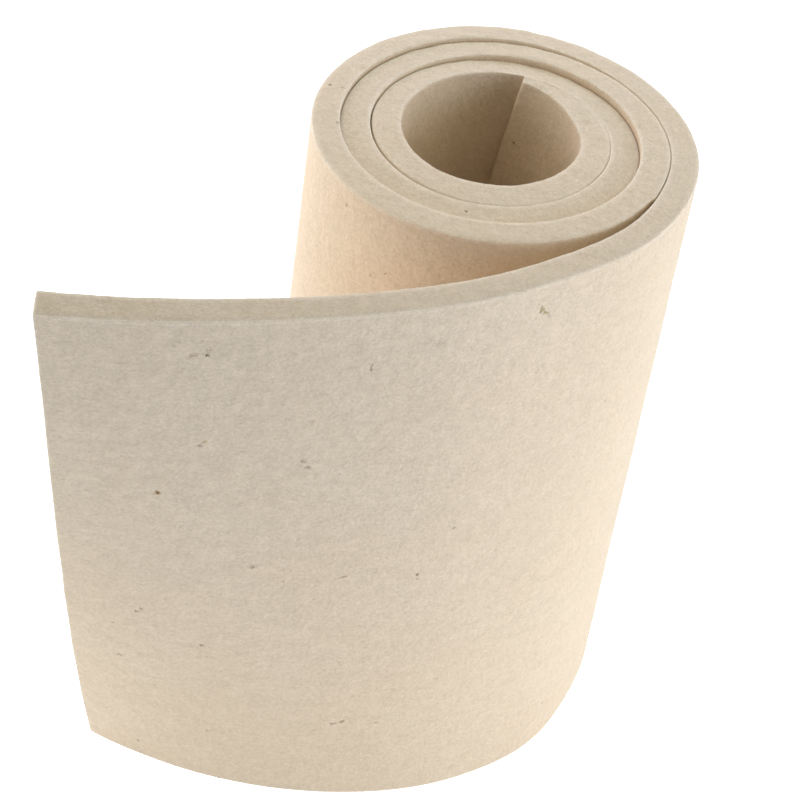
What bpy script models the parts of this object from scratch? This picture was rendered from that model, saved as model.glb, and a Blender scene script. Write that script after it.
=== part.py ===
"""Roll of thick wool felt that stands on its cut edge.

One strip is wound a little over three turns around an open middle, and its free end swings out to
the front left. Metres, +Z up, the front towards -Y, the origin on the floor under the middle of the
whole piece's box. A turn angle is in degrees, clockwise from the back as seen from above: 0 is the
back of the first turn, 90 its right side, 360 the back of the second turn.
"""
import math

import bmesh
import bpy
import numpy
from mathutils import Vector

MM = 0.001
FULL_TURN = 360.0
NAME = "felt_roll"

# The strip, as cut
FELT_THICKNESS = 10.0 * MM
STRIP_WIDTH = 230.0 * MM
CUT_EDGE_ROUND = 0.8 * MM

# The skived inner end: how thick its lip is, and how long it takes to reach the full thickness
LIP_THICKNESS = 2.6 * MM
SKIVE_LENGTH = 26.0 * MM

# Turn angles of the two ends, at the upper and the lower cut edge, because both ends are cut askew.
# The bow moves the free end at mid-height off the straight line between them.
INNER_END_TOP = 7.0
INNER_END_FOOT = -43.0
FREE_END_TOP = 1304.0
FREE_END_FOOT = 1311.0
FREE_END_BOW = -0.9

# Over these turn angles the lean of each end fades out along the strip
INNER_LEAN_UNTIL = 120.0
FREE_LEAN_FROM = 1200.0

# Radius of the strip's outer face in mm, at each eighth of a turn
TURN_RADII = {
    # back, back right, right, front right, front, front left, left, back left
    "lead_in": (None, None, None, None, None, None, 35.0, 35.5),
    "inner": (36.3, 36.0, 36.5, 38.5, 43.5, 46.5, 46.0, 46.0),
    "middle": (47.0, 46.5, 47.0, 49.0, 54.3, 57.3, 56.6, 56.7),
    "outer": (59.2, 58.3, 57.4, 59.6, 64.9, 68.0, 67.1, 68.0),
    "last": (70.5, 68.7, 68.0, None, None, None, None, None),
}

# Where the strip leaves the roll: turn angle, then the outer face's radius in mm at either cut edge
FREE_ROWS = (
    # turn, top, foot
    (1190, 68.6, 69.4),
    (1210, 71.7, 74.6),
    (1225, 75.3, 81.5),
    (1240, 81.2, 88.3),
    (1255, 92.1, 96.6),
    (1270, 108.6, 106.8),
    (1280, 124.4, 115.2),
    (1290, 147.0, 124.9),
    (1300, 179.0, 136.2),
    (1311, 223.0, 150.2),
)

# The second turn's upper edge sinks a little at the front
SINK_DEPTH = 2.0 * MM
SINK_CENTRE = 540.0
SINK_REACH = 150.0

# Fineness of the faceted surface: the first full column, the steps between columns and the levels up
FIRST_COLUMN = 20.0
TURN_STEP = 10.0
FREE_STEP = 6.0
LEVELS = 3
ROUND_SEGMENTS = 2
SHARP_FROM = math.radians(40.0)

FELT_COLOUR = (0.79, 0.70, 0.57, 1.0)
FELT_ROUGHNESS = 0.95


def radius_rows():
    """All rows of the two tables, as turn angles with the radii of the upper and lower cut edge."""
    turns, top, foot = [], [], []
    for number, radii in enumerate(TURN_RADII.values()):
        for eighth, radius in enumerate(radii):
            if radius is not None:
                turns.append(FULL_TURN * (number - 1 + eighth / len(radii)))
                top.append(radius)
                foot.append(radius)
    for turn, upper, lower in FREE_ROWS:
        turns.append(float(turn))
        top.append(upper)
        foot.append(lower)
    return numpy.array(turns), numpy.array(top) * MM, numpy.array(foot) * MM


def bends_through(turns, radii):
    """Second derivatives, at the rows, of the smooth cubic curve through them with straight ends."""
    count = len(turns)
    gap = numpy.diff(turns)
    slope = numpy.diff(radii) / gap
    system = numpy.eye(count)
    right = numpy.zeros(count)
    for row in range(1, count - 1):
        system[row, row - 1] = gap[row - 1]
        system[row, row] = 2.0 * (gap[row - 1] + gap[row])
        system[row, row + 1] = gap[row]
        right[row] = 6.0 * (slope[row] - slope[row - 1])
    return numpy.linalg.solve(system, right)


def smooth_radius(turns, radii, bends, turn):
    """The smooth curve's radius at one turn angle."""
    row = int(numpy.clip(numpy.searchsorted(turns, turn) - 1, 0, len(turns) - 2))
    gap = turns[row + 1] - turns[row]
    near = (turns[row + 1] - turn) / gap
    far = (turn - turns[row]) / gap
    straight = near * radii[row] + far * radii[row + 1]
    bulge = (near ** 3 - near) * bends[row] + (far ** 3 - far) * bends[row + 1]
    return straight + bulge * gap ** 2 / 6.0


def fade(share):
    """Falls smoothly from 1 to 0 as share goes from 0 to 1."""
    share = min(max(share, 0.0), 1.0)
    return 0.5 + 0.5 * math.cos(math.pi * share)


def hump(share):
    """Rises from 0 at either cut edge to 1 halfway between them."""
    return 4.0 * share * (1.0 - share)


def column_turns():
    """Turn angles, at the upper cut edge, of the mesh columns along the strip."""
    wound = numpy.arange(FIRST_COLUMN, FREE_LEAN_FROM, TURN_STEP)
    count = math.ceil((FREE_END_TOP - FREE_LEAN_FROM) / FREE_STEP)
    free = numpy.linspace(FREE_LEAN_FROM, FREE_END_TOP, count + 1)
    return [INNER_END_TOP, *wound, *free]


def leaning_turn(turn, share):
    """Turn angle of a column at this share of its height, where turn is the one at the upper edge."""
    inner = fade((turn - INNER_END_TOP) / (INNER_LEAN_UNTIL - INNER_END_TOP))
    free = fade((FREE_END_TOP - turn) / (FREE_END_TOP - FREE_LEAN_FROM))
    lean = inner * (INNER_END_FOOT - INNER_END_TOP) + free * (FREE_END_FOOT - FREE_END_TOP)
    return turn + lean * (1.0 - share) + free * FREE_END_BOW * hump(share)


def upper_edge(turn):
    """Height of the upper cut edge."""
    return STRIP_WIDTH - SINK_DEPTH * fade(abs(turn - SINK_CENTRE) / SINK_REACH)


def outer_face_columns():
    """Points of the strip's outer face, one list from foot to top for each column."""
    turns, top, foot = radius_rows()
    top_bends = bends_through(turns, top)
    foot_bends = bends_through(turns, foot)
    columns = []
    for upper_turn in column_turns():
        column = []
        for level in range(LEVELS + 1):
            share = level / LEVELS
            turn = leaning_turn(upper_turn, share)
            upper = smooth_radius(turns, top, top_bends, turn)
            lower = smooth_radius(turns, foot, foot_bends, turn)
            radius = lower * (1.0 - share) + upper * share
            angle = math.radians(turn)
            height = upper_edge(upper_turn) * share
            column.append(Vector((radius * math.sin(angle), radius * math.cos(angle), height)))
        columns.append(column)
    return columns


def lengths_from_inner_end(columns):
    """How far along the strip each point lies, one list for each level."""
    levels = []
    for level in range(LEVELS + 1):
        length, lengths = 0.0, [0.0]
        for before, after in zip(columns, columns[1:]):
            length += (after[level] - before[level]).length
            lengths.append(length)
        levels.append(lengths)
    return levels


def wound_sheet(columns):
    """The outer face as an open surface: a flat grid of the strip, wound up point by point."""
    along = len(columns) - 1
    lengths = lengths_from_inner_end(columns)
    bm = bmesh.new()
    bmesh.ops.create_grid(bm, x_segments=along, y_segments=LEVELS, size=0.5)
    thickness = bm.verts.layers.deform.verify()
    for vert in bm.verts:
        column = round((vert.co.x + 0.5) * along)
        level = round((vert.co.y + 0.5) * LEVELS)
        vert.co = columns[column][level]
        vert[thickness][0] = min(1.0, lengths[level][column] / SKIVE_LENGTH)
    bmesh.ops.reverse_faces(bm, faces=bm.faces)
    mesh = bpy.data.meshes.new(NAME)
    bm.to_mesh(mesh)
    bm.free()
    return mesh


def thickened(sheet):
    """The felt's full thickness, grown inwards from the outer face, with level cut edges."""
    piece = bpy.data.objects.new("thin_sheet", sheet)
    piece.vertex_groups.new(name="thickness")
    bpy.context.scene.collection.objects.link(piece)
    solidify = piece.modifiers.new("Felt thickness", "SOLIDIFY")
    solidify.thickness = FELT_THICKNESS
    solidify.offset = -1.0
    solidify.use_even_offset = True
    solidify.vertex_group = "thickness"
    solidify.thickness_vertex_group = LIP_THICKNESS / FELT_THICKNESS
    depsgraph = bpy.context.evaluated_depsgraph_get()
    mesh = bpy.data.meshes.new_from_object(piece.evaluated_get(depsgraph), depsgraph=depsgraph)
    mesh.name = NAME
    count = len(sheet.vertices)
    for outer, inner in zip(mesh.vertices[:count], mesh.vertices[count:]):
        inner.co.z = outer.co.z
    bpy.data.objects.remove(piece)
    bpy.data.meshes.remove(sheet)
    return mesh


def centred_on_floor(mesh):
    """Moves the mesh so that the origin lies on the floor under the middle of its box."""
    xs = [vert.co.x for vert in mesh.vertices]
    ys = [vert.co.y for vert in mesh.vertices]
    middle = Vector(((min(xs) + max(xs)) / 2.0, (min(ys) + max(ys)) / 2.0, 0.0))
    for vert in mesh.vertices:
        vert.co -= middle


def felt_material():
    """Undyed wool felt: matt, warm off-white."""
    material = bpy.data.materials.new("undyed_wool_felt")
    material.use_nodes = True
    shader = material.node_tree.nodes["Principled BSDF"]
    shader.inputs["Base Color"].default_value = FELT_COLOUR
    shader.inputs["Roughness"].default_value = FELT_ROUGHNESS
    shader.inputs["Metallic"].default_value = 0.0
    return material


def felt_roll(collection):
    """The whole strip as one solid, with its long cut edges and its ends a little rounded."""
    mesh = thickened(wound_sheet(outer_face_columns()))
    centred_on_floor(mesh)
    mesh.materials.clear()
    mesh.materials.append(felt_material())
    mesh.shade_smooth()
    mesh.set_sharp_from_angle(angle=SHARP_FROM)
    roll = bpy.data.objects.new(NAME, mesh)
    collection.objects.link(roll)
    bevel = roll.modifiers.new("Cut edge round", "BEVEL")
    bevel.width = CUT_EDGE_ROUND
    bevel.segments = ROUND_SEGMENTS
    bevel.limit_method = "ANGLE"
    bevel.angle_limit = SHARP_FROM
    return roll


def main():
    for thing in list(bpy.data.objects):
        bpy.data.objects.remove(thing)
    collection = bpy.data.collections.new("roll_of_felt")
    bpy.context.scene.collection.children.link(collection)
    felt_roll(collection)


main()
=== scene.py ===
"""Roll of thick undyed wool felt, standing on its cut edge.

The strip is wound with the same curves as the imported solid, at a finer step, and finished with the
soft rims of a knife cut, the loose fibres of the wool and the few bits of straw and dark hair in it.
Metres, +Z up. A turn angle is in degrees, clockwise from the back as seen from above.
"""

import math

import bmesh
import bpy
import numpy
from mathutils import Matrix, Vector, noise
from mathutils.bvhtree import BVHTree


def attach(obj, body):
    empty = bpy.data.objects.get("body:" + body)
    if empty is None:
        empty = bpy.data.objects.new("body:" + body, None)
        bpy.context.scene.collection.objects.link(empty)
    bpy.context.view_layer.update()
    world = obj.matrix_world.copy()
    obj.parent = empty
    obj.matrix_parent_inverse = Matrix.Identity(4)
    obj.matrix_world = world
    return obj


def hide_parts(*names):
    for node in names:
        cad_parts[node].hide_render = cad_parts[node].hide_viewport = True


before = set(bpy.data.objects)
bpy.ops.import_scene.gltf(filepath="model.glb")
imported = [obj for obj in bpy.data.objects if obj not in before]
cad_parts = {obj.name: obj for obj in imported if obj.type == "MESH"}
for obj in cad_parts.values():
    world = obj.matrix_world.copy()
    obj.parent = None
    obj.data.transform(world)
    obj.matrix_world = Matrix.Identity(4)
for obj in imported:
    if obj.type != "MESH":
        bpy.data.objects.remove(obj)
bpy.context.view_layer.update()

MM = 0.001
FULL_TURN = 360.0
RANDOM_SEED = 20

# The camera, by the photograph's perspective
CAMERA_PLACE = (0.01257, -0.68576, 0.6937)
CAMERA_PITCH = math.radians(39.3)
CAMERA_ROLL = math.radians(9.0)
CAMERA_LENS = 111.15
SENSOR_WIDTH = 36.0
PICTURE_SIZE = 800

# The room and its lights
ROLL_MIDDLE = Vector((0.0, 0.0, 0.115))
LIGHT_DISTANCE = 1.6
LIGHT_SIZE = 1.0
FLOOR_HALF = 6.0
FLOOR_COLOUR = (0.86, 0.86, 0.86, 1.0)
FLOOR_GLOW_COLOUR = (0.79, 0.88, 1.0, 1.0)
FLOOR_GLOW = 0.885
ROOM_COLOUR = (1.0, 1.0, 1.0, 1.0)
ROOM_LIGHT = 0.12
SOFT_BOXES = (
    # name, azimuth, elevation, power, colour
    ("back_left_box", -150.0, 20.0, 13.0, (0.88, 0.80, 1.0)),
    ("high_back_box", 180.0, 45.0, 12.8, (0.48, 0.74, 1.0)),
    ("left_box", -80.0, 12.0, 11.9, (0.88, 0.92, 1.0)),
    ("high_left_box", -90.0, 50.0, 7.5, (1.0, 0.95, 0.78)),
    ("back_right_box", 150.0, 20.0, 5.2, (0.81, 0.77, 1.0)),
    ("right_box", 75.0, 12.0, 16.8, (0.75, 0.83, 1.0)),
    ("high_right_box", 90.0, 50.0, 6.1, (1.0, 0.99, 0.77)),
    ("front_box", -20.0, 8.0, 1.1, (0.42, 0.68, 1.0)),
)

# The strip, as cut
FELT_THICKNESS = 10.0 * MM
STRIP_WIDTH = 230.0 * MM

# Where a face leans, its upper cut follows it down across the thickness: 0 is level, 1 is square
CUT_SQUARE = 0.75

# The skived inner end: its lip, how far it takes to full thickness, and how hollow the skive is
LIP_THICKNESS = 2.6 * MM
SKIVE_LENGTH = 52.0 * MM
SKIVE_CURVE = 1.7

# Radius of the cut edges: worn round, but still sharp where the lip runs into the next turn
CUT_EDGE_ROUND = 0.9 * MM
LIP_EDGE_ROUND = 0.05 * MM
OUTER_WEAR_ROWS = ((45.0, 0.0), (110.0, 1.0))
INNER_WEAR_ROWS = ((345.0, 1.0), (360.0, 0.0), (405.0, 0.0), (470.0, 1.0))
MOST_ROUND = 0.42

# Touching turns swell towards each other until this much is open. Wider gaps stay as they are
OPEN_ROWS = (
    # turn angle, gap in mm to the next turn out
    (-43, -0.55), (42, -0.55), (58, -0.15), (105, 0.05), (195, 0.15), (208, 0.60), (225, 0.90),
    (243, 0.88), (256, 0.65), (268, 0.36), (283, 0.18), (300, 0.12), (470, 0.13), (485, 0.35),
    (497, 0.35), (512, 0.14), (815, 0.10), (845, 0.45), (890, 0.60), (950, 0.60),
)
MOST_PRESSED = -1.5 * MM
MOST_SWELL = 1.10 * MM
CLOSED_BELOW = 0.95 * MM
OPEN_FROM = 1.30 * MM

# Winding axis in the part's frame
AXIS_X = 33.966 * MM
AXIS_Y = 34.638 * MM

# Turn angles of the two ends at the upper and the lower cut edge, and how far the free end bows
INNER_END_TOP = 7.0
INNER_END_FOOT = -43.0
FREE_END_TOP = 1304.0
FREE_END_FOOT = 1311.0
FREE_END_BOW = -0.79
INNER_LEAN_UNTIL = 120.0
FREE_LEAN_FROM = 1200.0

# Radius of the strip's outer face in mm, at each eighth of a turn
TURN_RADII = {
    # back, back right, right, front right, front, front left, left, back left
    "lead_in": (None, None, None, None, None, None, 35.0, 35.5),
    "inner": (36.3, 36.0, 36.5, 38.5, 43.5, 46.5, 46.0, 46.0),
    "middle": (47.0, 46.5, 47.0, 49.0, 54.3, 57.3, 56.6, 56.7),
    "outer": (59.2, 58.3, 57.4, 59.6, 64.9, 68.0, 67.1, 68.0),
    "last": (70.5, 68.7, 68.0, None, None, None, None, None),
}

# Where the strip leaves the roll: turn angle, then the outer face's radius in mm at either cut edge
FREE_ROWS = (
    # turn, top, foot
    (1190, 68.6, 69.4),
    (1210, 71.7, 74.6),
    (1225, 75.3, 81.5),
    (1240, 81.2, 88.3),
    (1255, 92.1, 96.6),
    (1270, 108.6, 106.8),
    (1280, 124.4, 115.2),
    (1290, 147.0, 124.9),
    (1300, 179.0, 136.2),
    (1311, 223.0, 150.2),
)

# The second turn's upper edge sinks a little at the front
SINK_DEPTH = 2.0 * MM
SINK_CENTRE = 540.0
SINK_REACH = 150.0

# How far the two rims of the upper cut lie below a level cut, because the blade leaned
RIM_ROWS = (
    # turn angle, outer rim and inner rim in mm
    (-43, 0.0, 0.0), (40, 0.0, 0.0), (150, 1.05, 0.0), (340, 1.05, 0.0), (367, 1.05, 0.10),
    (400, 1.05, 0.20), (415, 1.05, 0.35), (430, 1.05, 0.25), (465, 1.05, -0.55), (540, 1.05, -1.1),
    (615, 1.05, -0.55), (680, 1.05, 0.0), (765, 0.55, 0.0), (835, 0.55, 0.0),
    (900, 1.05, 0.0), (1085, 1.05, 0.0), (1125, 1.05, 0.45), (1195, 1.05, 0.45), (1240, 1.05, 0.0),
)

# The inner turns stand lower at the back, and lean back by so much for each mm that they drop
DROP_ROWS = (
    # turn angle, drop in mm
    (-43, 1.8), (0, 1.8), (45, 1.8), (90, 1.2), (135, 0.5), (180, 0.0), (225, 0.0), (270, 0.4),
    (315, 1.15), (360, 1.9), (405, 1.7), (450, 1.0), (495, 0.3), (540, 0.0), (585, 0.0), (630, 0.2),
    (675, 0.6), (720, 0.6), (765, 0.2), (810, 0.0), (855, 0.0), (900, 0.0),
)
DROP_LEAN = 1.55

# Turn angles past which the outer face, and up to which the core's face, lie open to the eye
OUTSIDE_OPEN_FROM = 960.0
CORE_OPEN_UNTIL = 355.0
TAIL_BACK_OPEN_FROM = 1225.0
OPEN_FADE = 40.0
TAIL_BACK_FADE = 25.0

# Fineness of the mesh: distances in mm from a cut edge or end, and the steps between
NEAR_RIM = (0.0, 0.16, 0.36, 0.6, 1.2, 2.6)
COLUMN_STEP = 1.5 * MM
ROW_STEP = 8.0 * MM
TINY = 1e-6

# Sorting the slab's places: a step along counts for more than the whole width, a step up for more
# than all layers
SORT_WEIGHTS = Vector((65536.0, 256.0, 1.0))

# Colours of the wool
WOOL_DARK = (0.629, 0.488, 0.331, 1.0)
WOOL_LIGHT = (0.763, 0.611, 0.443, 1.0)
MARK_TINT = (0.84, 0.82, 0.78, 1.0)
# Painted shade: the grey tint for the upper part of the free end
PAINTED_SHADE_TINT = (0.75, 0.775, 0.82, 1.0)
WOOL_SHADE = (0.93, 0.925, 0.91, 1.0)
WOOL_ROSE = (1.0, 0.975, 0.955, 1.0)
WOOL_GREY = (0.965, 0.975, 0.985, 1.0)
CUT_TINT = (0.955, 0.955, 0.965, 1.0)
# Painted highlight: the pale colour of the rounded cut edges and the rims of the upper cut
RIM_HIGHLIGHT_COLOUR = (0.97, 0.86, 0.71, 1.0)
FIBRE_PALE = (0.95, 0.84, 0.69, 1.0)

# Kinds of flecks, with the darker and the lighter colour of each
FLECK_COLOURS = {
    "dark": ((0.060, 0.034, 0.016, 1.0), (0.16, 0.095, 0.045, 1.0)),
    "straw": ((0.42, 0.22, 0.07, 1.0), (0.62, 0.40, 0.17, 1.0)),
    "grey": ((0.25, 0.195, 0.13, 1.0), (0.40, 0.32, 0.22, 1.0)),
    "olive": ((0.36, 0.275, 0.125, 1.0), (0.52, 0.42, 0.225, 1.0)),
    "faint": ((0.42, 0.325, 0.22, 1.0), (0.55, 0.44, 0.31, 1.0)),
}

# Bits of straw, coarse hair and dirt in the wool, placed by the photograph
FLECKS = (
    # column, row, kind, length and width in mm, degrees it rises to the right, number of threads
    (157, 492, "dark", 1.3, 1.1, 0, 16),
    (157, 492, "straw", 2.1, 1.9, 0, 14),
    (207, 355, "grey", 1.6, 1.2, 0, 10),
    (206, 355, "dark", 0.8, 0.6, 0, 3),
    (193, 355, "faint", 3.2, 1.4, 3, 6),
    (209, 350, "faint", 1.9, 1.3, 30, 9),
    (371, 369, "grey", 1.3, 1.3, 30, 11),
    (372, 365, "faint", 1.6, 1.2, 60, 6),
    (376, 369, "faint", 2.2, 0.5, 0, 4),
    (200, 445, "grey", 1.6, 1.4, 25, 2),
    (200, 445, "faint", 1.8, 1.6, 25, 6),
    (204, 441, "straw", 1.5, 1.2, 20, 3),
    (204, 441, "olive", 1.5, 1.2, 20, 4),
    (303, 461, "grey", 2.0, 0.7, -50, 2),
    (303, 461, "faint", 2.4, 0.9, -50, 8),
    (308, 468, "grey", 1.8, 0.9, -30, 2),
    (308, 467, "faint", 2.4, 1.0, -30, 9),
    (253, 567, "grey", 1.5, 1.2, 0, 5),
    (252, 566, "faint", 2.2, 1.6, 0, 8),
    (345, 576, "grey", 1.5, 1.1, 15, 6),
    (342, 577, "faint", 2.4, 0.8, 5, 6),
    (283, 581, "faint", 1.4, 1.0, 0, 6),
    (291, 570, "faint", 1.2, 0.9, 0, 6),
    (141, 608, "grey", 1.6, 1.0, 10, 6),
    (137, 611, "faint", 2.0, 1.3, 20, 8),
    (201, 645, "grey", 1.4, 1.1, 0, 4),
    (202, 644, "faint", 2.2, 1.4, 0, 5),
    (119, 654, "faint", 2.4, 1.6, -40, 4),
    (113, 622, "faint", 1.4, 1.1, 0, 6),
    (417, 574, "grey", 1.2, 1.1, 0, 14),
    (417, 574, "dark", 0.6, 0.5, 0, 3),
    (417, 578, "faint", 1.2, 1.0, 0, 4),
    (454, 528, "faint", 1.3, 1.1, 0, 6),
    (542, 702, "grey", 1.6, 0.7, 0, 5),
    (333, 723, "faint", 2.8, 1.1, 12, 8),
    (342, 721, "faint", 2.2, 1.3, 0, 8),
    (376, 722, "faint", 2.2, 0.6, 0, 6),
    (207, 730, "faint", 1.6, 1.2, 0, 6),
    (218, 777, "dark", 0.9, 0.7, 0, 6),
    (138, 740, "faint", 1.4, 1.1, 0, 6),
    (542, 310, "olive", 2.4, 1.6, -20, 18),
    (546, 312, "olive", 2.6, 1.1, -25, 12),
    (549, 316, "faint", 2.0, 1.4, -30, 6),
    (441, 343, "faint", 2.6, 1.8, 0, 7),
    (437, 344, "faint", 1.8, 1.2, 0, 4),
    (441, 334, "olive", 1.8, 1.1, 30, 2),
    (538, 370, "faint", 2.4, 0.4, 50, 4),
    (543, 364, "faint", 2.2, 0.4, 25, 4),
    (605, 400, "faint", 1.4, 1.1, 0, 6),
    (514, 143, "dark", 1.6, 0.6, -45, 7),
    (518, 147, "grey", 2.2, 0.4, -45, 4),
    (466, 211, "dark", 0.8, 0.6, 0, 4),
    (466, 211, "grey", 1.3, 1.1, 0, 8),
    (330, 84, "grey", 1.4, 1.1, 0, 8),
    (342, 87, "straw", 1.1, 0.7, 0, 5),
    (338, 122, "faint", 1.6, 1.3, 0, 8),
    (346, 205, "faint", 1.4, 1.1, 0, 6),
    (385, 273, "grey", 1.0, 0.8, 0, 5),
    (370, 275, "grey", 0.9, 0.8, 0, 5),
)

# Unevenness of the faces and of the cut edges, with the sizes of its broad and its fine waves
FACE_WAVE = 0.34 * MM
HIDDEN_WAVE = 0.03 * MM
RIM_WAVE = 0.30 * MM
BROAD_WAVES = (38.0 * MM, 13.0 * MM)
FINE_WAVES = (5.0 * MM, 2.4 * MM)
FOOT_WAVE_SHARE = 0.25

# How many loose fibres there are at each place
UPPER_EDGE_FIBRES = 6400
FOOT_FIBRES = 1200
CORE_RIM_FIBRES = 800
TAIL_RIM_FIBRES = 700
FREE_END_FIBRES = 500
LIP_FIBRES = 300
OUTER_FACE_FIBRES = 4200
CORE_FACE_FIBRES = 900
TAIL_BACK_FIBRES = 900

# Turn angles of the two shaggy stretches of rim: the core's near rim and the free end's outer rim
SHAGGY_CORE = (80.0, 290.0)
SHAGGY_TAIL = (1175.0, FREE_END_TOP)

# The long cut edges, as a share of the height and of the thickness
UPPER_OUTER_EDGE = (1.0, 0.0)
UPPER_INNER_EDGE = (1.0, 1.0)
FOOT_OUTER_EDGE = (0.0, 0.0)

# Fibres in mm: shortest and longest, and least and greatest radius
STANDING_LENGTH = (0.7, 2.0)
LYING_LENGTH = (2.0, 5.5)
EDGE_RADIUS = (0.030, 0.066)
SHAGGY_RADIUS = (0.045, 0.090)
LYING_RADIUS = (0.018, 0.034)

# Threads of the flecks in mm: the least radius, and how much wider they get with the fleck
THINNEST_THREAD = 0.05
THREAD_SPREAD = 0.09

# Standing fibres start inside the felt, lying ones dip their ends in it, and all keep off the floor
FIBRE_ROOT = 0.15 * MM
FIBRE_TUCK = 0.04 * MM
FIBRE_LIFT = 0.09 * MM
OFF_FLOOR = 0.08 * MM


def radius_rows():
    """All rows of the two tables, as turn angles with the radii of the upper and lower cut edge."""
    turns, top, foot = [], [], []
    for number, radii in enumerate(TURN_RADII.values()):
        for eighth, radius in enumerate(radii):
            if radius is not None:
                turns.append(FULL_TURN * (number - 1 + eighth / len(radii)))
                top.append(radius)
                foot.append(radius)
    for turn, upper, lower in FREE_ROWS:
        turns.append(float(turn))
        top.append(upper)
        foot.append(lower)
    return numpy.array(turns), numpy.array(top) * MM, numpy.array(foot) * MM


class SmoothCurve:
    """The smooth cubic curve through rows of turn angle and value, with straight ends."""

    def __init__(self, turns, values):
        self.turns, self.values = turns, values
        count = len(turns)
        gap = numpy.diff(turns)
        slope = numpy.diff(values) / gap
        system = numpy.eye(count)
        right = numpy.zeros(count)
        for row in range(1, count - 1):
            system[row, row - 1] = gap[row - 1]
            system[row, row] = 2.0 * (gap[row - 1] + gap[row])
            system[row, row + 1] = gap[row]
            right[row] = 6.0 * (slope[row] - slope[row - 1])
        self.bends = numpy.linalg.solve(system, right)

    def at(self, turn):
        turn = numpy.clip(turn, self.turns[0], self.turns[-1])
        row = numpy.clip(numpy.searchsorted(self.turns, turn) - 1, 0, len(self.turns) - 2)
        gap = self.turns[row + 1] - self.turns[row]
        near = (self.turns[row + 1] - turn) / gap
        far = (turn - self.turns[row]) / gap
        straight = near * self.values[row] + far * self.values[row + 1]
        bulge = (near ** 3 - near) * self.bends[row] + (far ** 3 - far) * self.bends[row + 1]
        return straight + bulge * gap ** 2 / 6.0


def fade(share):
    """Falls smoothly from 1 to 0 as share goes from 0 to 1."""
    return 0.5 + 0.5 * numpy.cos(math.pi * numpy.clip(share, 0.0, 1.0))


class Winding:
    """The strip's outer face as a surface: upper turn angle and share of the height to a point."""

    def __init__(self):
        turns, top, foot = radius_rows()
        self.top = SmoothCurve(turns, top)
        self.foot = SmoothCurve(turns, foot)
        drop_turns, drops = numpy.array(DROP_ROWS, dtype=float).T
        self.drop = SmoothCurve(drop_turns, drops * MM)
        self.open_turns, self.open_gaps = numpy.array(OPEN_ROWS, dtype=float).T
        self.rim_turns, self.outer_rims, self.inner_rims = numpy.array(RIM_ROWS, dtype=float).T

    def leaning_turn(self, turn, share):
        """Turn angle at this share of the height, where turn is the one at the upper edge."""
        inner = fade((turn - INNER_END_TOP) / (INNER_LEAN_UNTIL - INNER_END_TOP))
        free = fade((FREE_END_TOP - turn) / (FREE_END_TOP - FREE_LEAN_FROM))
        lean = inner * (INNER_END_FOOT - INNER_END_TOP) + free * (FREE_END_FOOT - FREE_END_TOP)
        return turn + lean * (1.0 - share) + free * FREE_END_BOW * 4.0 * share * (1.0 - share)

    def radius(self, turn, share):
        """Radius of the outer face at this turn angle, that share of the height up."""
        return self.foot.at(turn) * (1.0 - share) + self.top.at(turn) * share

    def swell(self, upper_turn, share):
        """How far the outer face moves out to meet the turn that lies round it."""
        turn = self.leaning_turn(upper_turn, share)
        beyond = numpy.minimum(turn + FULL_TURN, FREE_END_TOP)
        radius = self.radius(turn, share)
        slope = (self.radius(turn + 0.5, share) - self.radius(turn - 0.5, share)) / math.radians(1.0)
        thick = FELT_THICKNESS * numpy.sqrt(1.0 + (slope / radius) ** 2)
        leaned = (self.drop.at(beyond) - self.drop.at(turn)) * DROP_LEAN * share ** 2
        gap = self.radius(beyond, share) - thick - radius + leaned * numpy.cos(numpy.radians(turn))
        left_open = numpy.interp(turn, self.open_turns, self.open_gaps) * MM
        push = numpy.clip(gap - left_open, MOST_PRESSED, MOST_SWELL)
        push = push * fade((gap - CLOSED_BELOW) / (OPEN_FROM - CLOSED_BELOW))
        return numpy.where(turn + FULL_TURN < FREE_END_TOP, push, 0.0)

    def rim_drop(self, turn, depth):
        """How far below a level cut the upper cut lies at this depth in the felt."""
        outer = numpy.interp(turn, self.rim_turns, self.outer_rims)
        inner = numpy.interp(turn, self.rim_turns, self.inner_rims)
        return (outer * (1.0 - depth) + inner * depth) * MM

    def upper_edge(self, turn):
        return STRIP_WIDTH - SINK_DEPTH * fade(numpy.abs(turn - SINK_CENTRE) / SINK_REACH)

    def point(self, upper_turn, share):
        """Points of the outer face in the part's frame."""
        turn = self.leaning_turn(upper_turn, share)
        radius = self.radius(turn, share)
        angle = numpy.radians(turn)
        drop = self.drop.at(turn) * share ** 2
        x = AXIS_X + radius * numpy.sin(angle)
        y = AXIS_Y + radius * numpy.cos(angle) + DROP_LEAN * drop
        return numpy.stack([x, y, self.upper_edge(upper_turn) * share - drop], -1)

    def directions(self, upper_turn, share):
        """Unit vectors along the strip towards its free end, and out of its face."""
        along = self.point(upper_turn + 0.05, share) - self.point(upper_turn - 0.05, share)
        up = self.point(upper_turn, share + 0.002) - self.point(upper_turn, share - 0.002)
        return unit(along), unit(numpy.cross(up, along))


def unit(vectors):
    return vectors / numpy.linalg.norm(vectors, axis=-1, keepdims=True)


def uneven(points, size, seed):
    """Smooth noise from -1 to 1 at each point, with features of about this size."""
    shift = Vector((17.3 * seed, -9.1 * seed, 4.7 * seed))
    return numpy.array([noise.noise(Vector(point) / size + shift) for point in points])


def strip_lengths(winding):
    """How far along the strip, at mid-height, each of many upper turn angles lies."""
    turns = numpy.linspace(INNER_END_TOP, FREE_END_TOP, 8001)
    points = winding.point(turns, numpy.full(len(turns), 0.5))
    steps = numpy.linalg.norm(numpy.diff(points, axis=0), axis=1)
    return turns, numpy.concatenate([[0.0], numpy.cumsum(steps)])


def spaced(total, near, step):
    """Distances from 0 to total: close together at both ends, and even in between."""
    start = numpy.array(near) * MM
    count = round((total - 2.0 * start[-1]) / step)
    middle = numpy.linspace(start[-1], total - start[-1], count + 1)
    return numpy.concatenate([start, middle[1:-1], (total - start)[::-1]])


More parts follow.
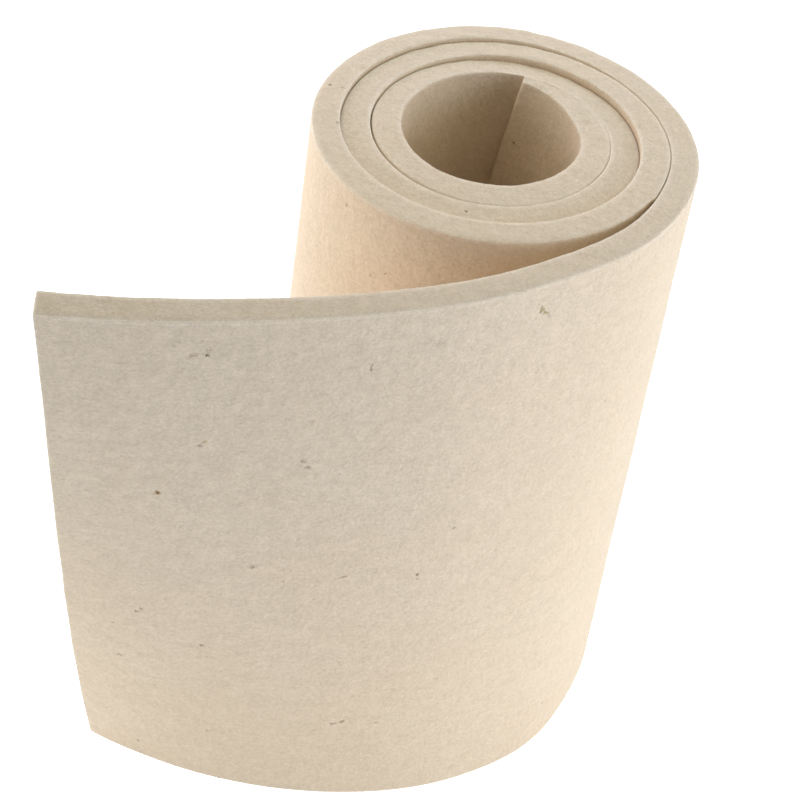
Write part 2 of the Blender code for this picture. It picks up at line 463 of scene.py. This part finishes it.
def slab(columns, rows, layers):
    """A closed flat slab whose vertices stand on whole numbers: column, row and layer."""
    bm = bmesh.new()
    bmesh.ops.create_grid(bm, x_segments=columns - 1, y_segments=rows - 1, size=0.5)
    scale = Matrix.Diagonal((columns - 1, rows - 1, 1.0, 1.0))
    bmesh.ops.transform(bm, matrix=scale @ Matrix.Translation((0.5, 0.5, 0.0)), verts=bm.verts)
    bmesh.ops.solidify(bm, geom=bm.faces[:], thickness=-(layers - 1))
    across = [edge for edge in bm.edges if abs(edge.verts[0].co.z - edge.verts[1].co.z) > 0.5]
    bmesh.ops.subdivide_edges(bm, edges=across, cuts=layers - 2)
    sort_by_place(bm)
    bmesh.ops.recalc_face_normals(bm, faces=bm.faces)
    return bm


def sort_by_place(bm):
    """Numbers the slab's vertices and faces by place, because the operators' order changes each run."""
    bm.verts.sort(key=lambda vert: vert.co.dot(SORT_WEIGHTS))
    bm.faces.sort(key=lambda face: face.calc_center_median().dot(SORT_WEIGHTS))
    bm.verts.index_update()
    bm.faces.index_update()


class Strip:
    """Places of the felt's own: how far along, how high and how deep, to points in the frame."""

    def __init__(self):
        self.winding = Winding()
        self.turn_samples, self.length_samples = strip_lengths(self.winding)
        self.length = self.length_samples[-1]

    def place(self, along, height, depth):
        """Point, and the unit directions along and outwards. Depth is a share of the thickness."""
        turn = self.turn(along)
        share = height / STRIP_WIDTH
        ahead, out = self.winding.directions(turn, share)
        thick = self.thickness(along)
        outer = self.winding.point(turn, share)
        swell = self.winding.swell(turn, share)
        inward = out * (thick * depth - swell * (1.0 - depth))[:, None]
        inward[:, 2] *= CUT_SQUARE * share ** 2
        point = outer - inward
        upper_half = numpy.clip(share * 2.0 - 1.0, 0.0, 1.0)
        point[:, 2] -= self.winding.rim_drop(turn, depth) * upper_half
        return point, ahead, out

    def thickness(self, along):
        """The felt's thickness, which runs out over the skive to the thin lip."""
        missing = numpy.clip(1.0 - along / SKIVE_LENGTH, 0.0, 1.0) ** SKIVE_CURVE
        return FELT_THICKNESS - (FELT_THICKNESS - LIP_THICKNESS) * missing

    def turn(self, along):
        """Turn angle at the upper edge."""
        return numpy.interp(along, self.length_samples, self.turn_samples)

    def lengths_at(self, turns):
        """How far along the strip each of these turn angles lies."""
        return numpy.interp(turns, self.turn_samples, self.length_samples)


def outward_and_round(strip, along, height, depth):
    """How the cut edges are rounded: the move of each surface point, and the way it faces."""
    thick = strip.thickness(along)
    turn = strip.turn(along)
    outer = numpy.interp(turn, *zip(*OUTER_WEAR_ROWS))
    inner = numpy.interp(turn, *zip(*INNER_WEAR_ROWS))
    worn = numpy.where(depth < 0.5, outer, inner)
    radius = LIP_EDGE_ROUND + (CUT_EDGE_ROUND - LIP_EDGE_ROUND) * worn
    radius = numpy.minimum(radius, MOST_ROUND * thick)
    near_ends = (along, strip.length - along)
    near_edges = (height, STRIP_WIDTH - height)
    near_faces = (thick * depth, thick * (1.0 - depth))
    pulls = []
    for low, high in (near_ends, near_edges, near_faces):
        pulls.append(numpy.maximum(0.0, radius - high) - numpy.maximum(0.0, radius - low))
    pull = numpy.stack(pulls, -1)
    facing = unit(pull)
    return facing * radius[:, None] - pull, facing


def surface(strip, along, height, depth):
    """Points on the rounded strip, the way each faces in the strip's own terms, and its directions."""
    move, facing = outward_and_round(strip, along, height, depth)
    point, ahead, out = strip.place(along, height, depth)
    flat_up = numpy.tile((0.0, 0.0, 1.0), (len(point), 1))
    ways = numpy.stack([ahead, flat_up, -out], 1)
    point = point + (move[:, :, None] * ways).sum(1)
    return point, facing, ways


def wave_room(strip, along, facing):
    """How uneven each point may be: little where the next turn lies against it."""
    turn = strip.turn(along)
    outside = numpy.clip((turn - OUTSIDE_OPEN_FROM) / OPEN_FADE, 0.0, 1.0)
    core = numpy.clip((CORE_OPEN_UNTIL - turn) / OPEN_FADE, 0.0, 1.0)
    tail_back = numpy.clip((turn - TAIL_BACK_OPEN_FROM) / TAIL_BACK_FADE, 0.0, 1.0)
    open_face = numpy.where(facing[:, 2] < 0.0, outside, numpy.maximum(core, tail_back))
    return HIDDEN_WAVE + (FACE_WAVE - HIDDEN_WAVE) * open_face


def wave_move(strip, along, height, depth, facing):
    """How far the felt's own unevenness moves each point outwards."""
    own = numpy.stack([along, height, strip.thickness(along) * depth], -1)
    broad = 0.7 * uneven(own, BROAD_WAVES[0], 1) + 0.3 * uneven(own, BROAD_WAVES[1], 2)
    fine = 0.6 * uneven(own, FINE_WAVES[0], 3) + 0.4 * uneven(own, FINE_WAVES[1], 4)
    on_rim = numpy.clip(1.6 - numpy.abs(facing[:, 2]) * 1.6, 0.0, 1.0)
    face_move = wave_room(strip, along, facing) * (broad + 0.06 * fine) * (1.0 - on_rim)
    rim_move = RIM_WAVE * (0.6 * broad + 1.3 * fine) * on_rim
    foot = height < NEAR_RIM[-1] * MM
    return face_move + numpy.where(foot, FOOT_WAVE_SHARE * rim_move, rim_move)


def map_places(strip, along, height, depth):
    """The flat map of the felt, which runs on from the outer face over the ends and the cut edges."""
    across = FELT_THICKNESS * depth
    inner_face = depth > 0.999
    map_along = numpy.where(along > strip.length - TINY, along + across, along)
    map_along = numpy.where(along < TINY, -across, map_along)
    map_along = numpy.where(inner_face, along, map_along)
    map_height = numpy.where(height > STRIP_WIDTH - TINY, STRIP_WIDTH + across, height)
    map_height = numpy.where(height < TINY, -across, map_height)
    map_height = numpy.where(inner_face, 2.0 * STRIP_WIDTH + across - height, map_height)
    return map_along, map_height


def felt_mesh(strip):
    """The whole strip as one closed mesh, with its map and the shares of cut face and rim."""
    columns = spaced(strip.length, NEAR_RIM, COLUMN_STEP)
    rows = spaced(STRIP_WIDTH, NEAR_RIM, ROW_STEP)
    edge = numpy.array(NEAR_RIM[:4]) * MM / FELT_THICKNESS
    layers = numpy.concatenate([edge, numpy.linspace(0.22, 0.78, 4), (1.0 - edge)[::-1]])
    bm = slab(len(columns), len(rows), len(layers))
    whole = numpy.array([vert.co for vert in bm.verts])
    whole[:, 2] = numpy.abs(whole[:, 2])
    index = numpy.rint(whole).astype(int)
    along, height, depth = columns[index[:, 0]], rows[index[:, 1]], layers[index[:, 2]]

    point, facing, ways = surface(strip, along, height, depth)
    outwards = (facing[:, :, None] * ways).sum(1)
    point = point + outwards * wave_move(strip, along, height, depth, facing)[:, None]
    point[:, 2] = numpy.maximum(point[:, 2], 0.0)
    point[(height == 0.0) & (numpy.abs(facing[:, 1]) > 0.9), 2] = 0.0

    for vert, place in zip(bm.verts, point):
        vert.co = place
    map_along, map_height = map_places(strip, along, height, depth)
    layer = bm.loops.layers.uv.new("strip")
    for face in bm.faces:
        for loop in face.loops:
            number = loop.vert.index
            loop[layer].uv = (map_along[number], map_height[number])
    mesh = bpy.data.meshes.new("felt")
    bmesh.ops.recalc_face_normals(bm, faces=bm.faces)
    bm.to_mesh(mesh)
    bm.free()
    write_attribute(mesh, "cut_face", numpy.clip(numpy.abs(facing[:, 1]) * 1.5 - 0.4, 0.0, 1.0))
    # The rim share is also the mask of the painted highlight on the rounded edges
    write_attribute(mesh, "rim", rim_share(facing))
    mesh.shade_smooth()
    return mesh


def rim_share(facing):
    """1 where the surface turns over a long cut edge, less down the ends, 0 on the flat."""
    turned = numpy.clip(2.2 * (1.0 - numpy.abs(facing).max(1)), 0.0, 1.0) ** 0.7
    return turned * numpy.clip(0.25 + 3.0 * numpy.abs(facing[:, 1]), 0.0, 1.0)


def write_attribute(mesh, name, values):
    attribute = mesh.attributes.new(name, "FLOAT", "POINT")
    attribute.data.foreach_set("value", values.astype(numpy.float32))


def add_piece(name, mesh, material):
    piece = bpy.data.objects.new(name, mesh)
    bpy.context.scene.collection.objects.link(piece)
    mesh.materials.clear()
    mesh.materials.append(material)
    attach(piece, "root")
    return piece


class Nodes:
    """Short calls for the nodes of one material."""

    def __init__(self, name):
        self.material = bpy.data.materials.new(name)
        self.material.use_nodes = True
        self.tree = self.material.node_tree
        self.shader = self.tree.nodes["Principled BSDF"]

    def add(self, kind, settings=(), **inputs):
        node = self.tree.nodes.new(kind)
        for name, value in dict(settings).items():
            setattr(node, name, value)
        for name, value in inputs.items():
            self.put(node.inputs[name.replace("_", " ")], value)
        return node

    def put(self, socket, value):
        if isinstance(value, bpy.types.NodeSocket):
            self.tree.links.new(value, socket)
        else:
            socket.default_value = value

    def noise(self, place, scale, detail, roughness=0.55, distortion=0.0):
        node = self.add("ShaderNodeTexNoise", Vector=place, Scale=scale, Detail=detail,
                        Roughness=roughness, Distortion=distortion)
        return node.outputs["Fac"]

    def remap(self, value, low, high, to_low, to_high):
        node = self.add("ShaderNodeMapRange", {"clamp": True})
        for number, item in enumerate((value, low, high, to_low, to_high)):
            self.put(node.inputs[number], item)
        return node.outputs[0]

    def math(self, operation, first, second):
        node = self.add("ShaderNodeMath", {"operation": operation})
        self.put(node.inputs[0], first)
        self.put(node.inputs[1], second)
        return node.outputs[0]

    def tint(self, blend, share, first, second):
        node = self.add("ShaderNodeMix", {"data_type": "RGBA", "blend_type": blend})
        self.put(node.inputs[0], share)
        self.put(node.inputs[6], first)
        self.put(node.inputs[7], second)
        return node.outputs[2]


def curved_marks(nodes, lying, place):
    """Short thin curved lines: where a swirled noise passes its middle value, in scattered patches."""
    swirl = nodes.noise(lying, 330.0, 1.0, 0.5, 1.6)
    away = nodes.math("ABSOLUTE", nodes.math("SUBTRACT", swirl, 0.5), 0.0)
    line = nodes.remap(away, 0.004, 0.022, 1.0, 0.0)
    patch = nodes.remap(nodes.noise(place, 240.0, 2.0), 0.50, 0.62, 0.0, 0.75)
    return nodes.math("MULTIPLY", line, patch)


def painted_tail_shade(nodes, strip_map, lumps):
    """Painted shade on the free end: grey, stronger towards its top, weaker on the upper cut and the
    inner face, in blotches.
    """
    parts = nodes.add("ShaderNodeSeparateXYZ", Vector=strip_map)
    along, height = parts.outputs["X"], parts.outputs["Y"]
    near_end = nodes.remap(along, 1.08, 1.33, 0.0, 1.0)
    near_top = nodes.remap(height, 0.05, 0.22, 0.1, 1.0)
    not_back = nodes.remap(height, 0.229, 0.232, 1.0, 0.45)
    share = nodes.math("MULTIPLY", nodes.math("MULTIPLY", near_end, near_top), not_back)
    return nodes.math("MULTIPLY", share, nodes.remap(lumps, 0.35, 0.65, 1.0, 0.75))


def painted_rim_highlight(nodes, strip_map):
    """Painted highlight: a soft pale band along both rims of the upper cut."""
    height = nodes.add("ShaderNodeSeparateXYZ", Vector=strip_map).outputs["Y"]
    outer = nodes.math("ABSOLUTE", nodes.math("SUBTRACT", height, STRIP_WIDTH), 0.0)
    inner = nodes.math("ABSOLUTE", nodes.math("SUBTRACT", height, STRIP_WIDTH + FELT_THICKNESS), 0.0)
    return nodes.remap(nodes.math("MINIMUM", outer, inner), 0.4 * MM, 1.8 * MM, 0.34, 0.0)


def wool_felt_material():
    """Pressed wool: matted fibres that run mostly along the strip, cloudy, with a painted highlight at
    the rims and painted shade on the free end's upper part.
    """
    nodes = Nodes("wool_felt")
    place = nodes.add("ShaderNodeTexCoord").outputs["Object"]
    strip_map = nodes.add("ShaderNodeUVMap", {"uv_map": "strip"}).outputs["UV"]
    lying = nodes.add("ShaderNodeMapping", Vector=strip_map, Scale=(0.6, 1.0, 1.0)).outputs["Vector"]
    tufts = nodes.noise(place, 760.0, 3.0, 0.6, 0.5)
    fibres = nodes.noise(lying, 1350.0, 4.0, 0.65, 1.1)
    lumps = nodes.noise(place, 210.0, 3.0)
    drawn = nodes.add("ShaderNodeMapping", Vector=strip_map, Scale=(0.2, 1.0, 1.0)).outputs["Vector"]
    streaks = nodes.noise(drawn, 300.0, 2.0, 0.5, 0.6)
    clouds = nodes.noise(place, 34.0, 2.0)
    drift = nodes.noise(place, 9.0, 1.0)

    grain = nodes.math("ADD", nodes.math("MULTIPLY", tufts, 0.45), nodes.math("MULTIPLY", fibres, 0.55))
    colour = nodes.tint("MIX", nodes.remap(grain, 0.36, 0.64, 0.0, 1.0), WOOL_DARK, WOOL_LIGHT)
    colour = nodes.tint("MULTIPLY", nodes.remap(lumps, 0.35, 0.65, 0.35, 0.0), colour, WOOL_SHADE)
    colour = nodes.tint("MULTIPLY", nodes.remap(streaks, 0.42, 0.66, 0.0, 0.4), colour, WOOL_SHADE)
    colour = nodes.tint("MULTIPLY", nodes.remap(clouds, 0.35, 0.65, 0.0, 0.5), colour, WOOL_ROSE)
    colour = nodes.tint("MULTIPLY", nodes.remap(drift, 0.35, 0.65, 0.5, 0.0), colour, WOOL_GREY)
    colour = nodes.tint("MULTIPLY", curved_marks(nodes, lying, place), colour, MARK_TINT)
    # Painted shade on the upper part of the free end
    colour = nodes.tint("MULTIPLY", painted_tail_shade(nodes, strip_map, lumps), colour, PAINTED_SHADE_TINT)
    cut = nodes.add("ShaderNodeAttribute", {"attribute_name": "cut_face"}).outputs["Fac"]
    rim = nodes.add("ShaderNodeAttribute", {"attribute_name": "rim"}).outputs["Fac"]
    colour = nodes.tint("MULTIPLY", nodes.math("MULTIPLY", cut, 0.85), colour, CUT_TINT)
    # Painted highlight along the rounded cut edges and both rims of the upper cut
    pale = nodes.math("MAXIMUM", rim, painted_rim_highlight(nodes, strip_map))
    pale = nodes.math("MULTIPLY", pale, nodes.remap(fibres, 0.35, 0.65, 0.45, 0.95))
    colour = nodes.tint("MIX", pale, colour, RIM_HIGHLIGHT_COLOUR)
    nodes.put(nodes.shader.inputs["Base Color"], colour)

    nodes.put(nodes.shader.inputs["Roughness"], nodes.remap(grain, 0.3, 0.7, 1.0, 0.86))
    nodes.shader.inputs["Specular IOR Level"].default_value = 0.2
    nodes.shader.inputs["Sheen Weight"].default_value = 0.19
    nodes.shader.inputs["Sheen Roughness"].default_value = 0.6
    nodes.shader.inputs["Sheen Tint"].default_value = (1.0, 0.85, 0.66, 1.0)

    relief = nodes.math("ADD", nodes.math("MULTIPLY", fibres, 0.6), nodes.math("MULTIPLY", tufts, 0.9))
    fine = nodes.add("ShaderNodeBump", Strength=0.65, Distance=0.3 * MM, Height=relief)
    soft = nodes.add("ShaderNodeBump", Strength=0.62, Distance=0.9 * MM, Height=lumps,
                     Normal=fine.outputs["Normal"])
    nodes.put(nodes.shader.inputs["Normal"], soft.outputs["Normal"])
    return nodes.material


def loose_wool_material():
    """Single wool fibres: pale, each a little different."""
    nodes = Nodes("loose_wool")
    place = nodes.add("ShaderNodeTexCoord").outputs["Object"]
    shade = nodes.remap(nodes.noise(place, 260.0, 2.0), 0.3, 0.7, 0.0, 1.0)
    nodes.put(nodes.shader.inputs["Base Color"], nodes.tint("MIX", shade, WOOL_LIGHT, FIBRE_PALE))
    nodes.put(nodes.shader.inputs["Roughness"], nodes.remap(shade, 0.0, 1.0, 0.95, 0.75))
    nodes.shader.inputs["Specular IOR Level"].default_value = 0.3
    return nodes.material


def fleck_material(name, dark, pale):
    """A bit of straw or a coarse dark hair caught in the wool."""
    nodes = Nodes(name)
    place = nodes.add("ShaderNodeTexCoord").outputs["Object"]
    shade = nodes.remap(nodes.noise(place, 700.0, 2.0), 0.35, 0.65, 0.0, 1.0)
    nodes.put(nodes.shader.inputs["Base Color"], nodes.tint("MIX", shade, dark, pale))
    nodes.put(nodes.shader.inputs["Roughness"], nodes.remap(shade, 0.0, 1.0, 0.9, 0.6))
    return nodes.material


class Fibres:
    """Many short threads, gathered point by point and made one mesh of thin round tubes."""

    def __init__(self, felt):
        bm = bmesh.new()
        bm.from_mesh(felt.data)
        self.tree = BVHTree.FromBMesh(bm)
        bm.free()
        self.random = numpy.random.default_rng(RANDOM_SEED)

    def on_felt(self, points):
        """The nearest places on the felt and the ways it faces there."""
        found = [self.tree.find_nearest(Vector(point)) for point in points]
        return numpy.array([hit[0] for hit in found]), numpy.array([hit[1] for hit in found])

    def standing(self, points, ahead, lengths):
        """Fibres that leave the felt and curl over: an array of paths."""
        start, facing = self.on_felt(points)
        heading = unit(facing + 0.75 * self.scatter(len(start)) + 0.5 * ahead)
        path = [start - FIBRE_ROOT * facing]
        for _ in range(3):
            path.append(path[-1] + heading * (lengths / 3.0)[:, None])
            heading = unit(heading + 0.7 * self.scatter(len(start)))
        return numpy.stack(path, 1)

    def lying(self, points, ahead, lengths):
        """Fibres that lie matted on the felt, with a slight rise in the middle."""
        place, facing = self.on_felt(points)
        sense = self.random.choice((-1.0, 1.0), len(place))[:, None]
        heading = unit(sense * ahead + 0.8 * self.scatter(len(place)))
        path = []
        for number in range(4):
            rise = (-FIBRE_TUCK, FIBRE_LIFT, FIBRE_LIFT, -FIBRE_TUCK)[number]
            path.append(place + facing * rise)
            heading = heading - facing * (heading * facing).sum(1, keepdims=True)
            place = place + unit(heading) * (lengths / 3.0)[:, None]
            place, facing = self.on_felt(place)
            heading = heading + 0.6 * self.scatter(len(place))
        return numpy.stack(path, 1)

    def fleck(self, place, facing, sideways, length, width, count):
        """A small tangle of threads pressed into the felt, longer than wide along one direction."""
        lengthways = unit(sideways - facing * (sideways @ facing))
        crossways = numpy.cross(facing, lengthways)
        lean = self.random.normal(0.0, 1.0, count) * math.atan2(width, length)
        heading = numpy.outer(numpy.cos(lean), lengthways) + numpy.outer(numpy.sin(lean), crossways)
        middle = place + numpy.outer(self.random.uniform(-0.2, 0.2, count) * length, lengthways)
        middle = middle + numpy.outer(self.random.normal(0.0, 0.22, count) * width, crossways)
        bend = self.random.normal(0.0, 0.10, count) * length
        path = []
        for step, curve in ((-0.40, 1.0), (-0.13, 0.0), (0.13, 0.0), (0.40, 1.0)):
            points = middle + heading * step * length + numpy.outer(bend * curve, crossways)
            near, outwards = self.on_felt(points)
            path.append(near + outwards * (0.02 - 0.03 * curve) * MM)
        return numpy.stack(path, 1)

    def scatter(self, count):
        return unit(self.random.normal(size=(count, 3)))


def tubes(name, paths, radius):
    """One mesh of four-sided tubes along all paths, made from one curve of many short lines."""
    curve = bpy.data.curves.new(name, "CURVE")
    curve.dimensions = "3D"
    curve.bevel_depth = 1.0
    curve.bevel_resolution = 0
    curve.use_fill_caps = True
    for path, thick in zip(paths, radius):
        line = curve.splines.new("POLY")
        line.points.add(len(path) - 1)
        line.points.foreach_set("co", numpy.concatenate([path, numpy.ones((len(path), 1))], 1).ravel())
        taper = numpy.linspace(1.0, 0.45, len(path)) * thick
        line.points.foreach_set("radius", taper)
    source = bpy.data.objects.new(name, curve)
    bpy.context.scene.collection.objects.link(source)
    depsgraph = bpy.context.evaluated_depsgraph_get()
    mesh = bpy.data.meshes.new_from_object(source.evaluated_get(depsgraph), depsgraph=depsgraph)
    mesh.name = name
    bpy.data.objects.remove(source)
    bpy.data.curves.remove(curve)
    mesh.shade_smooth()
    return mesh


def rim_fibres(strip, fibres, count, turns, edges):
    """Roots along some of the long cut edges, between two turn angles, and the way the strip runs."""
    picks = fibres.random.integers(0, len(edges), count)
    along = fibres.random.uniform(*strip.lengths_at(turns), count)
    inset = fibres.random.gamma(1.6, 0.45 * MM, count)
    height = numpy.empty(count)
    depth = numpy.empty(count)
    sideways = fibres.random.random(count) < 0.5
    for number, (edge_height, edge_depth) in enumerate(edges):
        mine = picks == number
        down = numpy.where(sideways, inset, 0.0)
        inwards = numpy.where(sideways, 0.0, inset) / strip.thickness(along)
        height[mine] = numpy.abs(edge_height * STRIP_WIDTH - down)[mine]
        depth[mine] = numpy.abs(edge_depth - inwards)[mine]
    points, _, ways = surface(strip, along, height, depth)
    return points, ways[:, 0]


def end_fibres(strip, fibres, count, along_place):
    """Roots down one end of the strip, along its outer and its inner edge, and the way up."""
    inset = fibres.random.gamma(1.6, 0.4 * MM, count)
    along = numpy.abs(along_place - inset)
    height = fibres.random.uniform(0.0, STRIP_WIDTH, count)
    depth = fibres.random.integers(0, 2, count).astype(float)
    points, _, ways = surface(strip, along, height, depth)
    return points, ways[:, 1]


def face_fibres(strip, fibres, count, turns, depth):
    """Roots scattered on one face of the strip, between two turn angles."""
    along = fibres.random.uniform(*strip.lengths_at(turns), count)
    height = fibres.random.uniform(1.0 * MM, STRIP_WIDTH - 1.0 * MM, count)
    points, _, ways = surface(strip, along, height, numpy.full(count, depth))
    return points, ways[:, 0]


def add_fibres(strip, felt):
    """The fuzz on the cut edges, and the matted fibres on the open faces."""
    fibres = Fibres(felt)
    random = fibres.random
    wool = loose_wool_material()
    whole = (INNER_END_TOP, FREE_END_TOP)
    outer_turn = (OUTSIDE_OPEN_FROM, FREE_END_TOP)
    upper = rim_fibres(strip, fibres, UPPER_EDGE_FIBRES, whole, (UPPER_OUTER_EDGE, UPPER_INNER_EDGE))
    foot = rim_fibres(strip, fibres, FOOT_FIBRES, outer_turn, (FOOT_OUTER_EDGE,))
    core_rim = rim_fibres(strip, fibres, CORE_RIM_FIBRES, SHAGGY_CORE, (UPPER_INNER_EDGE,))
    tail_rim = rim_fibres(strip, fibres, TAIL_RIM_FIBRES, SHAGGY_TAIL, (UPPER_OUTER_EDGE,))
    end = end_fibres(strip, fibres, FREE_END_FIBRES, strip.length)
    lip = end_fibres(strip, fibres, LIP_FIBRES, 0.0)
    outside = face_fibres(strip, fibres, OUTER_FACE_FIBRES, outer_turn, 0.0)
    core = face_fibres(strip, fibres, CORE_FACE_FIBRES, (INNER_END_TOP, CORE_OPEN_UNTIL), 1.0)
    back = face_fibres(strip, fibres, TAIL_BACK_FIBRES, (TAIL_BACK_OPEN_FROM, FREE_END_TOP), 1.0)
    pieces = []
    for name, groups, grow, length, radius in (
        ("upper_edge_fibres", (upper,), fibres.standing, STANDING_LENGTH, EDGE_RADIUS),
        ("shaggy_rim_fibres", (core_rim, tail_rim), fibres.standing, STANDING_LENGTH, SHAGGY_RADIUS),
        ("end_and_foot_fibres", (foot, end, lip), fibres.standing, STANDING_LENGTH, EDGE_RADIUS),
        ("face_fibres", (outside, core, back), fibres.lying, LYING_LENGTH, LYING_RADIUS),
    ):
        points = numpy.concatenate([group[0] for group in groups])
        ahead = numpy.concatenate([group[1] for group in groups])
        paths = grow(points, ahead, random.uniform(*length, len(points)) * MM)
        paths[:, :, 2] = numpy.maximum(paths[:, :, 2], OFF_FLOOR)
        mesh = tubes(name, paths, random.uniform(*radius, len(points)) * MM)
        pieces.append(add_piece(name, mesh, wool))
    return fibres, pieces


def picture_ray(column, row):
    """The direction from the camera through one place in the photograph."""
    right, up, back = camera_axes()
    middle = PICTURE_SIZE / 2.0
    reach = CAMERA_LENS / SENSOR_WIDTH * PICTURE_SIZE
    return (right * (column + 0.5 - middle) - up * (row + 0.5 - middle) - back * reach).normalized()


def add_flecks(fibres):
    """The flecks of the photograph, each lying on the felt where its ray meets it."""
    right, up, _ = camera_axes()
    pieces = []
    for kind, (dark, pale) in FLECK_COLOURS.items():
        paths, radius = [], []
        for column, row, own_kind, length, width, rise, count in FLECKS:
            if own_kind != kind:
                continue
            place, facing, _, _ = fibres.tree.ray_cast(Vector(CAMERA_PLACE), picture_ray(column, row))
            sideways = right * math.cos(math.radians(rise)) + up * math.sin(math.radians(rise))
            paths.append(fibres.fleck(numpy.array(place), numpy.array(facing), numpy.array(sideways),
                                      length * MM, width * MM, count))
            thickest = THINNEST_THREAD + THREAD_SPREAD * min(1.0, width)
            radius.append(fibres.random.uniform(THINNEST_THREAD, thickest, count) * MM)
        mesh = tubes("flecks_" + kind, numpy.concatenate(paths), numpy.concatenate(radius))
        pieces.append(add_piece("flecks_" + kind, mesh, fleck_material("fleck_" + kind, dark, pale)))
    return pieces


def camera_axes():
    """The camera's right, up and backward directions."""
    forward = Vector((0.0, math.cos(CAMERA_PITCH), -math.sin(CAMERA_PITCH)))
    level = Vector((1.0, 0.0, 0.0))
    upright = level.cross(forward)
    right = math.cos(CAMERA_ROLL) * level + math.sin(CAMERA_ROLL) * upright
    up = math.cos(CAMERA_ROLL) * upright - math.sin(CAMERA_ROLL) * level
    return right, up, -forward


def add_camera():
    data = bpy.data.cameras.new("camera")
    data.lens = CAMERA_LENS
    data.sensor_width = SENSOR_WIDTH
    camera = bpy.data.objects.new("camera", data)
    right, up, back = camera_axes()
    turn = Matrix((right, up, back)).transposed().to_4x4()
    camera.matrix_world = Matrix.Translation(CAMERA_PLACE) @ turn
    bpy.context.scene.collection.objects.link(camera)
    bpy.context.scene.camera = camera


def around(azimuth, elevation, distance):
    """A place round the roll. Azimuth 0 is in front of it, 90 on its right."""
    turn = math.radians(azimuth)
    rise = math.radians(elevation)
    flat = distance * math.cos(rise)
    return Vector((flat * math.sin(turn), -flat * math.cos(turn), distance * math.sin(rise)))


def add_lights():
    """Large soft boxes round the roll."""
    for name, azimuth, elevation, power, colour in SOFT_BOXES:
        light = bpy.data.lights.new(name, "AREA")
        light.shape = "DISK"
        light.size = LIGHT_SIZE
        light.energy = power
        light.color = colour
        lamp = bpy.data.objects.new(name, light)
        place = around(azimuth, elevation, LIGHT_DISTANCE) + ROLL_MIDDLE
        lamp.matrix_world = Matrix.Translation(place) @ (
            (place - ROLL_MIDDLE).to_track_quat("Z", "Y").to_matrix().to_4x4())
        bpy.context.scene.collection.objects.link(lamp)


def add_room():
    """A wide white floor, and the white walls of the room as the world's light."""
    bm = bmesh.new()
    bmesh.ops.create_grid(bm, x_segments=1, y_segments=1, size=FLOOR_HALF)
    mesh = bpy.data.meshes.new("floor")
    bm.to_mesh(mesh)
    bm.free()
    floor = bpy.data.objects.new("floor", mesh)
    bpy.context.scene.collection.objects.link(floor)
    nodes = Nodes("white_floor")
    nodes.shader.inputs["Base Color"].default_value = FLOOR_COLOUR
    nodes.shader.inputs["Roughness"].default_value = 0.9
    nodes.shader.inputs["Emission Color"].default_value = FLOOR_GLOW_COLOUR
    nodes.shader.inputs["Emission Strength"].default_value = FLOOR_GLOW
    mesh.materials.append(nodes.material)
    world = bpy.data.worlds.new("white_room")
    world.use_nodes = True
    background = world.node_tree.nodes["Background"]
    background.inputs["Color"].default_value = ROOM_COLOUR
    background.inputs["Strength"].default_value = ROOM_LIGHT
    bpy.context.scene.world = world
    bpy.context.scene.view_settings.view_transform = "Standard"


def main():
    add_camera()
    strip = Strip()
    felt = add_piece("felt", felt_mesh(strip), wool_felt_material())
    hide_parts("felt_roll")
    fibres, loose = add_fibres(strip, felt)
    loose += add_flecks(fibres)
    add_room()
    add_lights()


main()
